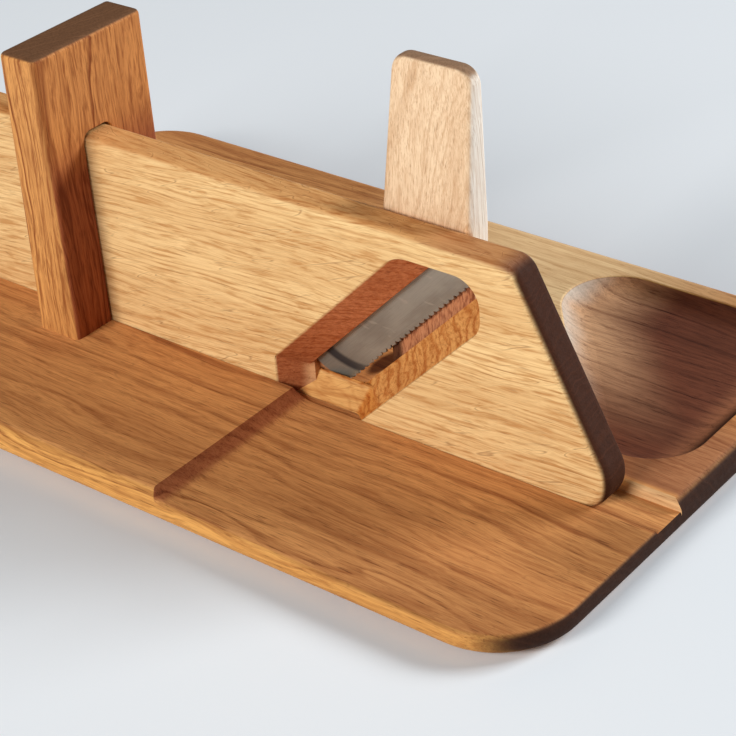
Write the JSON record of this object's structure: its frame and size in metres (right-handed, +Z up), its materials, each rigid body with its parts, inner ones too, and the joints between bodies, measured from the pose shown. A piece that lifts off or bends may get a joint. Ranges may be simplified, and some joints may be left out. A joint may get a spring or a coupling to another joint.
{
  "type": "manual salami slicer",
  "caption": "Hand slicer for sausage: a wooden board with gate, fence, tray and dish, and a plank on edge that slides in a groove and carries a slanted toothed blade in a window.",
  "frame": {"origin": "on the table, under the middle of the board", "axes": "+X along the plank towards its sloping nose, +Y from the tray at the front to the back, +Z up"},
  "size_m": [0.466, 0.29, 0.19],
  "materials": {
    "oak_board": "oiled",
    "oak_gate": "oiled",
    "pale_oak_fence": "oiled",
    "oak_plank": "oiled",
    "blade_steel": "satin",
    "blade_screw_steel": "satin",
    "frame_screw_steel": "satin",
    "washer_steel": "satin",
    "insert_brass": "satin",
    "beech_dowels": "plain",
    "pin_steel": "satin",
    "foot_silicone": "matt translucent"
  },
  "bodies": {
    "frame": {"base_board": "oak_board", "gate": "oak_gate", "fence": "pale_oak_fence", "frame_screws": "frame_screw_steel", "frame_washers": "washer_steel", "threaded_inserts": "insert_brass", "locating_dowels": "beech_dowels", "stop_pin": "pin_steel", "feet": "foot_silicone"},
    "plank": {"slider": "oak_plank", "blade": "blade_steel", "blade_screws": "blade_screw_steel"}
  },
  "joints": [
    {"name": "plank_slide", "type": "slide", "parent": "frame", "child": "plank", "axis": [1, 0, 0], "range_m": [-0.105, 0.034]}
  ]
}
